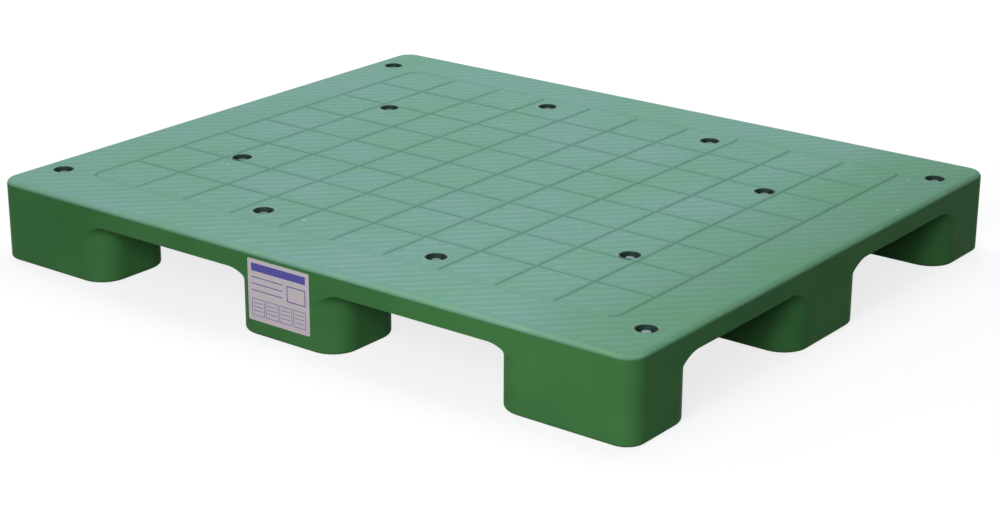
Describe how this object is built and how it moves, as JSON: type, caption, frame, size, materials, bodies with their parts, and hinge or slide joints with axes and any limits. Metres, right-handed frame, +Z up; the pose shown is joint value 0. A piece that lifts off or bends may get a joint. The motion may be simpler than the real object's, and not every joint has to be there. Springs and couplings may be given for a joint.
{
  "type": "plastic pallet",
  "caption": "Four-way plastic pallet with a closed, grooved deck on hollow legs; deck cover bolted to the leg tray over steel tubes.",
  "frame": {"origin": "on the floor, under the middle of the pallet", "axes": "+X along the 1200 mm side, +Y along the 1000 mm side towards the back, +Z up; the label is on the -Y face"},
  "size_m": [1.2, 1.0002, 0.13],
  "materials": {
    "green_deck": "textured, dusty",
    "green_base": "smooth satin",
    "black_nylon": "moulded",
    "black_polyethylene": "moulded",
    "zinc_steel": "zinc plated",
    "galvanised_steel": "galvanised",
    "brass": "turned",
    "label_film": "printed film"
  },
  "bodies": {
    "root": {"base_moulding": "green_base", "bolt_corner_back_left": "zinc_steel", "bolt_corner_back_right": "zinc_steel", "bolt_corner_front_left": "zinc_steel", "bolt_corner_front_right": "zinc_steel", "bolt_end_back_left": "zinc_steel", "bolt_end_back_right": "zinc_steel", "bolt_end_front_left": "zinc_steel", "bolt_end_front_right": "zinc_steel", "bolt_side_back_left": "zinc_steel", "bolt_side_back_right": "zinc_steel", "bolt_side_front_left": "zinc_steel", "bolt_side_front_right": "zinc_steel", "cup_corner_back_left": "black_nylon", "cup_corner_back_right": "black_nylon", "cup_corner_front_left": "black_nylon", "cup_corner_front_right": "black_nylon", "cup_end_back_left": "black_nylon", "cup_end_back_right": "black_nylon", "cup_end_front_left": "black_nylon", "cup_end_front_right": "black_nylon", "cup_side_back_left": "black_nylon", "cup_side_back_right": "black_nylon", "cup_side_front_left": "black_nylon", "cup_side_front_right": "black_nylon", "deck_cover": "green_deck", "insert_corner_back_left": "brass", "insert_corner_back_right": "brass", "insert_corner_front_left": "brass", "insert_corner_front_right": "brass", "insert_end_back_left": "brass", "insert_end_back_right": "brass", "insert_end_front_left": "brass", "insert_end_front_right": "brass", "insert_side_back_left": "brass", "insert_side_back_right": "brass", "insert_side_front_left": "brass", "insert_side_front_right": "brass", "label": "label_film", "plug_centre_back_left": "black_polyethylene", "plug_centre_back_right": "black_polyethylene", "plug_centre_front_left": "black_polyethylene", "plug_centre_front_right": "black_polyethylene", "plug_outer_back_left": "black_polyethylene", "plug_outer_back_right": "black_polyethylene", "plug_outer_front_left": "black_polyethylene", "plug_outer_front_right": "black_polyethylene", "plug_tunnel_back_left": "black_polyethylene", "plug_tunnel_back_right": "black_polyethylene", "plug_tunnel_front_left": "black_polyethylene", "plug_tunnel_front_right": "black_polyethylene", "tube_centre_back": "galvanised_steel", "tube_centre_front": "galvanised_steel", "tube_outer_back": "galvanised_steel", "tube_outer_front": "galvanised_steel", "tube_tunnel_back": "galvanised_steel", "tube_tunnel_front": "galvanised_steel"}
  },
  "joints": []
}
